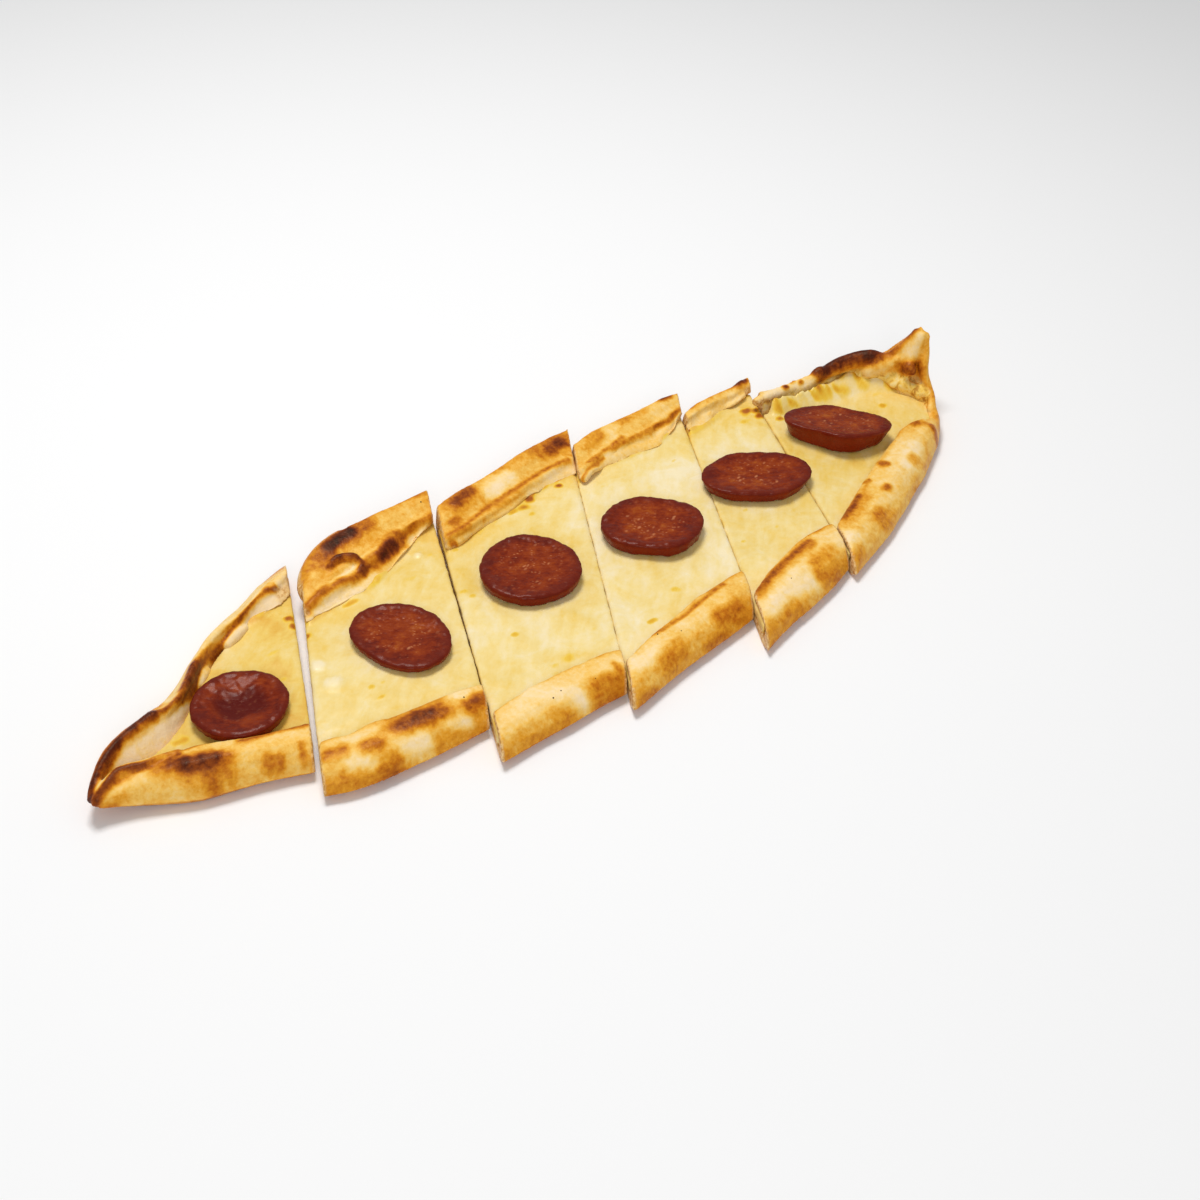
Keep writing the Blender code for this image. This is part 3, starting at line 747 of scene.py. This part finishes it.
def shapeCrust(number):
    form = slices[number - 1]
    bake = bakes[number - 1]
    piece = denseCopy("crust_%d" % number, "crustSlice%d" % number,
                      crustShape["voxel"], crustShape["smoothing"], rollPaths(number),
                      rollBlends[number - 1])
    points, facing = readPoints(piece)
    if number == 6:   # the raised corner is narrower below its tip, with a dip before it
        pulled = bell(points[:, 2], 22.5, 7) * ramp(points[:, 0], 224, 231)
        points[:, 0] -= 2.4 * pulled
        dip = bell(points[:, 0], 225.5, 4.5) * ramp(points[:, 1], 5, 11)
        points[:, 2] -= 2.6 * dip * ramp(points[:, 2], 20, 28)
    line = guides(form, points)
    if number == 1:   # the far rim of the left tip falls away outside its lip
        slope = 15.2 - 0.62 * (points[:, 1] - line["farLip"] - 1.5)
        middle = ramp(line["share"], 0.30, 0.42)
        lower = np.minimum(points[:, 2], np.maximum(slope, 0.45 * points[:, 2]))
        points[:, 2] += middle * (lower - points[:, 2]) * (points[:, 1] > line["farLip"])
    x, y, z = points.T
    up = np.clip(facing[:, 2], 0, 1)
    under = ramp(-facing[:, 2], 0.3, 0.8)
    flap = (y - line["nearEdge"]) / (line["nearLip"] - line["nearEdge"])
    near = ramp(line["nearLip"] + 4 - y, 0, 3)
    far = ramp(y - (line["farLip"] - line["ply"] - 5), 0, 3)
    onRim = np.maximum(near, far) * (1 - under)
    cutGap = np.minimum(line["fromLeft"] if number > 1 else 99.0,
                        line["fromRight"] if number < 6 else 99.0)
    atCut = ramp(1.4 - cutGap, 0, 0.9)
    along = np.stack([x * 0.45, y, z], axis=1)
    wide = lumps(along, 4.5, number + 20)
    ragged = 0.20 * lumps(points, 6.0, number + 50) + 0.12 * lumps(points, 2.2, number + 51)

    # thin raised lip, wandering a little, and the rim's own lumps
    wander = crustShape["lipWander"] * lumps(points, 9.0, number + 30)
    nearLip = bell(y, line["nearLip"] - 0.6 + wander, 1.3) * ramp(z, 9, 11)
    farLip = bell(y, line["farLip"] + 1.2 + wander, 1.8) * ramp(z, 11, 13)
    rise = crustShape["lipRise"] * (nearLip + farLip) * (0.5 + 0.5 * wide) * up
    rise += onRim * (crustShape["puff"] * lumps(points, crustShape["puffSize"], number)
                     + crustShape["lump"] * lumps(along, crustShape["lumpSize"], number + 7)
                     + crustShape["grain"] * lumps(points, crustShape["grainSize"], number + 13))
    rise += atCut * 0.18 * lumps(points, 1.6, number + 40)

    # the far rim's lower ply slopes to the cheese and ends in a wavy edge
    plyShare = np.clip((line["farLip"] - y) / np.maximum(line["ply"], 0.5), 0, 1.3)
    onPly = ramp(line["farLip"] + 1 - y, 0, 2) * ramp(y - line["farLip"] + line["ply"] + 3, 0, 1.5)
    onPly *= ramp(z, 9.3, 9.8) * ramp(line["ply"], 1.0, 3.0)

    # how baked each place is
    wobble = 0.16 * lumps(along, 9.0, number + 64)
    foot = ramp(bake["band"] - flap + wobble, -0.30, 0.30)
    nearTone = bake["near"] + (bake["foot"] - bake["near"]) * foot + 0.10 * ramp(4 - z, 0, 4)
    lipShare = 0.85 * nearLip * ramp(wide, -0.9, 0.2)
    nearTone += lipShare * (bake["lip"] - nearTone)
    back = bell(y, line["farRidge"] + 2.0, 3.0) + ramp(y - line["farRidge"] - 2.0, 0, 3)
    farTone = bake["far"] + np.clip(back, 0, 1) * (bake["back"] - bake["far"])
    innerFace = np.maximum(onPly, ramp(line["farLip"] - 0.5 - y, 0, 1.5) * ramp(z, 5, 7))
    farTone += innerFace * (bake["inner"] - farTone)
    toastAndPaintedCrease = np.where(near * (1 - far) > 0.5, nearTone, farTone * far + 0.12 * (1 - far))
    if number == 6:   # the outside of the raised corner is baked all round
        outside = ramp(facing[:, 0], 0.2, 0.6) * ramp(x, 222, 228)
        toastAndPaintedCrease += outside * (0.40 - toastAndPaintedCrease)
    toastAndPaintedCrease += 0.09 * lumps(points, 15.0, number + 60) + 0.05 * lumps(points, 5.0, number + 62)
    for tone, reach, raised, path in crustMarks[number - 1]:
        inside = ramp(pathDistance(points, path) / reach + ragged, 1.6, 0.15) * (1 - under)
        toastAndPaintedCrease += inside * (tone - toastAndPaintedCrease)
        rise += raised * inside
    toastAndPaintedCrease += under * (0.60 + 0.2 * ragged - toastAndPaintedCrease)

    crumb = atCut * ramp(z, 0.6, 1.6) * ramp(np.hypot(facing[:, 0], facing[:, 1]), 0.5, 0.8)
    for *place, reach in tornPlaces[number - 1]:
        inside = ramp(np.linalg.norm(points - place, axis=1) / reach + 2 * ragged, 1.2, 0.6)
        crumb = np.maximum(crumb, inside)
        rise += inside * crustShape["torn"] * lumps(points, 2.4, number + 44)
    moved = points + facing * (rise * (1 - 0.8 * atCut))[:, None]
    moved[:, 2] -= onPly * crustShape["plyDrop"] * plyShare * ramp(z, 9.8, 12)
    wave = lumps(np.stack([x, 0 * y, 0 * z], axis=1), 7.0, number + 34)
    moved[:, 1] += onPly * crustShape["scallop"] * wave
    moved[:, 2] = np.maximum(moved[:, 2], 0.0)
    writePoints(piece, moved)
    paint(piece, "toastAndPaintedCrease", toastAndPaintedCrease)
    paint(piece, "crumb", crumb)
    stained = ramp(line["farLip"] + 0.4 - y, 0, 1.5) * ramp(y - line["farLip"] + 11, 0, 2)
    stained *= ramp(16.4 - z + 4 * ragged, 0, 3)
    nearMelt = pathDistance(points, np.array(cornerMelt)[:, :3]) / 4.6
    stained = np.maximum(stained, ramp(nearMelt + 0.6 * ragged, 1.35, 0.75))
    inward = ramp(0.35 - facing[:, 0], 0, 0.4)   # none on the outside of the tip
    paint(piece, "melt", 0.9 * stained * inward * (number == 6))
    finishPiece(piece, "crust_%d" % number, crustMaterial)


def finishPiece(piece, node, finish):
    piece.data.materials.clear()
    piece.data.materials.append(finish)
    makeActive(piece)
    bpy.ops.object.shade_smooth()
    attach(piece, "root")
    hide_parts(node)


for number in range(1, 7):
    shapeCrust(number)
print("crust made")


# Burnt specks on the crust: slice, x, y and radius.
specks = ((3, -70, -60, 0.36), (3, -65, -59, 0.30), (3, -42, -70, 0.34), (4, -11, -59, 0.34),
          (2, -97, -37, 0.36), (2, -32, 74, 0.36), (4, -2, -64, 0.26), (5, 60, -70, 0.26),
          (3, -49, -62, 0.22))


def addSpecks():
    made = []
    for number, x, y, radius in specks:
        crust = bpy.data.objects["crustSlice%d" % number]
        struck, spot, _, _ = crust.ray_cast(Vector((x, y, 80)) * mm, Vector((0, 0, -1)))
        if struck:
            bpy.ops.mesh.primitive_ico_sphere_add(subdivisions=2, radius=radius * mm, location=spot)
            made.append(bpy.context.object)
    deselectAll()
    for ball in made:
        ball.select_set(True)
    bpy.context.view_layer.objects.active = made[0]
    bpy.ops.object.join()
    piece = bpy.context.object
    piece.name = "burntSpecks"
    bpy.ops.object.transform_apply(location=True, rotation=True, scale=True)
    paint(piece, "toastAndPaintedCrease", np.ones(len(piece.data.vertices)))
    piece.data.materials.clear()
    piece.data.materials.append(crustMaterial)
    bpy.ops.object.shade_smooth()
    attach(piece, "root")


addSpecks()
print("specks made")


cheeseShape = {
    "voxel": 0.8, "smoothing": 3,
    "wave": 0.5, "waveSize": 16.0,
    "ripple": 0.18, "rippleSize": 4.5,
    "edgeRise": 0.9, "climb": 6.5,
}

cheeseOil = (0.64, 0.40, 0.38, 0.27, 0.40, 0.48)   # how yellow each slice's cheese is

# Browned marks: x, y, half length, half width and how brown.
cheeseSpots = (
    ((-119, 52, 4, 3, 0.75), (-120.5, 47, 2.5, 3, 0.80), (-137, 38, 4, 1.5, 0.35),
     (-192, 18.5, 5, 3.5, 0.50), (-143, 22, 2.4, 1.8, 0.40), (-152, 40, 4, 2, 0.25)),
    ((-93, 44, 5, 2, 0.60), (-120, 38, 3, 2.4, 0.75), (-64, 41, 4, 2, 0.25), (-47, 49, 2.5, 2, 0.35),
     (-119, -5, 2.8, 2.2, 0.45), (-113, -5, 2.4, 1.6, 0.30), (-119, -12, 3.2, 1.5, 0.50)),
    ((8, 49, 5, 2.6, 0.60), (14, 52, 3.6, 3.0, 0.85), (17, 54, 3, 2.2, 0.70), (2, 49, 4, 2, 0.55),
     (25, 55, 5, 2, 0.60), (32, 52, 2.6, 2, 0.80), (36, 58, 4, 2, 0.65), (8, 43, 2.6, 2, 0.35),
     (-51, 14, 2.4, 1.7, 0.35), (-52, 19, 2.6, 1.6, 0.38), (-54, -17, 2.4, 2, 0.45),
     (-46, -42, 6, 3.5, 0.38), (-53, -42, 3.5, 2.4, 0.40), (-57, -46, 3, 2, 0.28),
     (-26, -36, 3, 1.5, 0.22), (-29, -22, 2.5, 2, 0.20), (-36, 44, 2.2, 1.4, 0.45)),
    ((20, -39, 2.8, 2.4, 0.38), (-3, -48, 3.4, 2.2, 0.48), (48, 38, 2, 1.3, 0.25), (89, 32, 2, 1.3, 0.3)),
    ((147, 39, 5, 3.6, 0.75), (152, 37, 5, 3.2, 0.70), (150, 32, 4, 3.2, 0.80), (140, 34, 3.6, 2.8, 0.45),
     (68, -34, 2.4, 1.6, 0.40), (88, -36, 2.5, 1.5, 0.26), (86, -18, 2, 1.5, 0.3)),
    ((206, -1, 3.0, 2.6, 0.62), (212, 8, 4.5, 2.4, 0.34), (211, 19, 3.4, 2.0, 0.50), (219, 13, 3.4, 1.8, 0.50), (191, 27, 2, 1.4, 0.65),
     (182, 29, 1.6, 1.2, 0.65), (200, 25.5, 2, 1.2, 0.60), (160, 28, 4, 3.0, 0.60), (156, 24, 3.4, 2.8, 0.75)),
)

# Bubbles, raised and painted paler as a painted highlight: x, y, reach and height.
bubblesWithPaintedHighlight = ((), ((-129, 7, 6, 1.0), (-51, 52, 3, 0.6), (-127, 20, 5, 0.5)), (), (), (), ())

def shapeCheese(number):
    form = slices[number - 1]
    piece = denseCopy("cheese_%d" % number, "cheeseLayer%d" % number,
                      cheeseShape["voxel"], cheeseShape["smoothing"])
    points, facing = readPoints(piece)
    line = guides(form, points)
    x, y, z = points.T
    up = ramp(facing[:, 2], 0.2, 0.8)
    cutGap = np.minimum(line["fromLeft"] if number > 1 else 99.0,
                        line["fromRight"] if number < 6 else 99.0)
    atCut = ramp(1.6 - cutGap, 0, 1.2)
    rise = up * (cheeseShape["wave"] * lumps(points, cheeseShape["waveSize"], number + 70)
                 + cheeseShape["ripple"] * lumps(points, cheeseShape["rippleSize"], number + 80))
    nearGap = y - line["nearLip"]
    farGap = line["farLip"] - line["ply"] - y
    rise += up * cheeseShape["edgeRise"] * (ramp(4 - nearGap, 0, 5) + ramp(4 - farGap, 0, 5))
    ragged = lumps(points, 2.5, number + 90)
    brown = np.zeros(len(points))
    run = np.zeros(len(points))
    if number == 6:   # this one runs on into the raised corner
        run = 16.0 * ramp(line["share"], 0.56, 0.78) * ramp(z, 5, 7)
    for px, py, halfLong, halfWide, strength in cheeseSpots[number - 1]:
        away = np.hypot((x + run - px) / halfLong, (y - py) / halfWide) + 0.3 * ragged
        inside = ramp(-away, -1.3, -0.2) * up
        brown = np.maximum(brown, strength * inside)
        rise += 0.4 * strength * inside
    # browner and yellower along the rims: painted shade where the cheese meets the rim, with some browning
    # there
    edgeBrownAndShade = np.maximum(ramp(3.5 - farGap, 0, 3), 0.6 * ramp(2.5 - nearGap, 0, 2))
    brown = np.maximum(brown, up * edgeBrownAndShade * (0.22 + 0.22 * ragged))
    climb = np.zeros(len(points))
    if number == 6:   # bubbling cheese that climbed the high wall of the right end
        placed = points.copy()
        placed[:, 0] += run
        toWall = curveThrough(form["farFoot"], shareAlong(form, placed)) - y
        wallShare = ramp(line["share"], 0.02, 0.12) * ramp(0.93 - line["share"], 0, 0.1)
        climb = ramp(6.5 + 0.6 * ragged - toWall, 0, 7) * wallShare * ramp(z, 6, 8)
        brown = np.maximum(brown, np.sqrt(climb) * (0.46 + 0.50 * lumps(points, 2.6, number + 93)))
    oilAndPaintedLight = cheeseOil[number - 1] + 0.14 * lumps(points, 22.0, number + 97) + 0.2 * edgeBrownAndShade
    if number > 1:   # yellower and darker towards the far rim: painted shade of the rim
        oilAndPaintedLight += 0.14 * ramp(y, 15, 50)
    for px, py, reach, height in bubblesWithPaintedHighlight[number - 1]:
        inside = up * ramp(np.hypot(x - px, y - py) / reach, 1.0, 0.2)
        rise += height * inside
        # paler on each bubble: a painted highlight
        oilAndPaintedLight -= 0.35 * inside
    moved = points + facing * (rise * (1 - 0.7 * atCut))[:, None]
    side = 0.25 + 0.2 * lumps(points, 3.0, number + 95)
    moved += facing * (atCut * (1 - up) * side)[:, None]
    bubbly = 1 + 0.25 * lumps(points, 3.5, number + 99)
    moved[:, 2] += cheeseShape["climb"] * climb * bubbly * (1 + 0.35 * bell(line["share"], 0.15, 0.15))
    moved[:, 1] += 0.6 * cheeseShape["climb"] * climb
    if number == 6:   # kept within the walls of the tip
        moved[:, 0] = np.minimum(moved[:, 0] + run, 230.5)
        tip = guides(form, moved)
        held = np.clip(moved[:, 1], tip["nearEdge"] + 4, tip["farEdge"] - 4)
        moved[:, 1] += ramp(moved[:, 0], 205, 215) * (held - moved[:, 1])
    writePoints(piece, moved)
    # brown holds the browned spots, the climb, and the painted shade along the rims
    paint(piece, "brown", brown)
    paint(piece, "oilAndPaintedLight", oilAndPaintedLight)
    finishPiece(piece, "cheese_%d" % number, cheeseMaterial)


for number in range(1, 7):
    shapeCheese(number)
print("cheese made")


sucukShape = {
    "voxel": 0.6, "smoothing": 2,
    "rimRise": 0.3, "knobs": 0.35, "knobSize": 4.5, "grain": 0.16, "grainSize": 1.6,
}

# Each slice of sucuk: thickness factor, how far its middle sinks, the turn and the share
# of its tilt, how dark its middle is, change of size, and the outline's lobes, each with
# a count, a reach and a turn.
sucukForms = (
    {"thick": 1.10, "dish": 2.0, "tilt": (0, 0.0), "dark": 0.95, "grow": 0.00,
     "lobes": ((2, 0.02, 20),)},
    {"thick": 0.98, "dish": 0.5, "tilt": (60, 0.1), "dark": 0.0, "grow": -0.03,
     "lobes": ((1, 0.065, -122), (2, 0.115, -87), (3, 0.03, 17))},
    {"thick": 1.30, "dish": 0.5, "tilt": (0, 0.0), "dark": 0.0, "grow": 0.005,
     "lobes": ((1, 0.055, -140), (3, 0.015, -53))},
    {"thick": 1.35, "dish": 0.6, "tilt": (0, 0.0), "dark": 0.0, "grow": -0.02,
     "lobes": ((1, 0.04, 170), (2, 0.02, -20), (4, 0.03, -10))},
    {"thick": 1.20, "dish": 0.6, "tilt": (0, 0.0), "dark": 0.0, "grow": -0.01,
     "lobes": ((1, 0.035, -129), (2, 0.06, -9), (4, 0.035, -10))},
    {"thick": 1.02, "dish": 0.5, "tilt": (-133, 0.25), "dark": 0.0, "grow": -0.07,
     "lobes": ((1, 0.05, -180), (2, 0.09, -82), (4, 0.035, -45))},
)


def shapeSucuk(number):
    low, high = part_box("sucuk_%d" % number)
    middle = (low + high) / 2 / mm
    base = low.z / mm
    form = sucukForms[number - 1]
    piece = denseCopy("sucuk_%d" % number, "sucukSlice%d" % number,
                      sucukShape["voxel"], sucukShape["smoothing"])
    points, facing = readPoints(piece)
    x, y, z = points.T
    up = ramp(facing[:, 2], 0.2, 0.8)

    # share 0 in the middle and 1 at the outline, from the farthest point each way
    angle = np.arctan2(y - middle.y, x - middle.x)
    reach = np.hypot(x - middle.x, y - middle.y)
    bins = ((angle + math.pi) / (2 * math.pi) * 72).astype(int) % 72
    outer = np.zeros(72)
    np.maximum.at(outer, bins, reach)
    share = reach / outer[bins]

    rise = up * (sucukShape["rimRise"] * bell(share, 0.88, 0.08)
                 - form["dish"] * ramp(0.88 - share, 0, 0.7))
    knobs = lumps(points, sucukShape["knobSize"], number + 100)
    rise += sucukShape["knobs"] * knobs * (0.35 + 0.65 * ramp(share, 0.5, 0.95))
    rise += sucukShape["grain"] * lumps(points, sucukShape["grainSize"], number + 110)
    moved = points + facing * rise[:, None]
    factor = 1 + form["grow"]
    for count, amount, turn in form["lobes"]:
        factor = factor + amount * np.cos(count * (angle - math.radians(turn)))
    moved[:, 0] = middle.x + (moved[:, 0] - middle.x) * factor
    moved[:, 1] = middle.y + (moved[:, 1] - middle.y) * factor
    turn, tilt = form["tilt"]
    lift = 1 + tilt * share * np.cos(angle - math.radians(turn))
    moved[:, 2] = base - 0.5 + (moved[:, 2] - base + 0.2) * form["thick"] * lift
    writePoints(piece, moved)
    ring = ramp(share + 0.08 * lumps(points, 3.0, number + 120), 0.70, 1.0)
    paint(piece, "rim", ring * (0.3 + 0.7 * up))
    paint(piece, "core", up * (1 - ramp(share, 0.35, 0.95)) * (1 - 0.9 * form["dark"]))
    paint(piece, "wall", ramp(0.6 - facing[:, 2], 0, 0.5))
    sunk = ramp(0.62 - share + 0.16 * knobs, 0, 0.3)
    paint(piece, "dark", form["dark"] * sunk * up)
    finishPiece(piece, "sucuk_%d" % number, sucukMaterial)


for number in range(1, 7):
    shapeSucuk(number)
print("sucuk made")


studio = {
    "floorSize": 6.0, "floorTone": (0.92, 0.92, 0.92), "skyStrength": 0.38,
    "cameraPlace": (-0.3962, -0.4175, 0.4598), "cameraTurn": (50.73, -2.05, -42.69),
    "lens": 49.5,
}


def studioLight(name, place, target, size, power):
    lamp = bpy.data.lights.new(name, "AREA")
    lamp.size = size
    lamp.energy = power
    made = bpy.data.objects.new(name, lamp)
    made.location = place
    made.rotation_euler = (Vector(target) - Vector(place)).to_track_quat("-Z", "Y").to_euler()
    bpy.context.scene.collection.objects.link(made)


deselectAll()
bpy.ops.mesh.primitive_plane_add(size=studio["floorSize"], location=(0, 0, -0.0002))
floor = bpy.context.object
floor.name = "floor"
floorMaterial, floorTree, floorShader = shaderTree("paleFloor", 0.9)
floorShader.inputs["Base Color"].default_value = (*studio["floorTone"], 1.0)
floor.data.materials.append(floorMaterial)

world = bpy.data.worlds.new("studioSky")
world.use_nodes = True
world.node_tree.nodes["Background"].inputs["Color"].default_value = (1, 1, 1, 1)
world.node_tree.nodes["Background"].inputs["Strength"].default_value = studio["skyStrength"]
bpy.context.scene.world = world
studioLight("keyLight", (0.05, 0.35, 1.2), (0, 0, 0), 0.4, 9.7)
studioLight("fillLight", (-0.8, -0.9, 0.8), (0, 0, 0), 0.5, 4.4)

eye = bpy.data.cameras.new("camera")
eye.lens = studio["lens"]
eye.sensor_width = 36.0
camera = bpy.data.objects.new("camera", eye)
camera.location = studio["cameraPlace"]
camera.rotation_euler = Euler([math.radians(turn) for turn in studio["cameraTurn"]])
bpy.context.scene.collection.objects.link(camera)
bpy.context.scene.camera = camera
bpy.context.scene.view_settings.view_transform = "Standard"
print("studio ready")
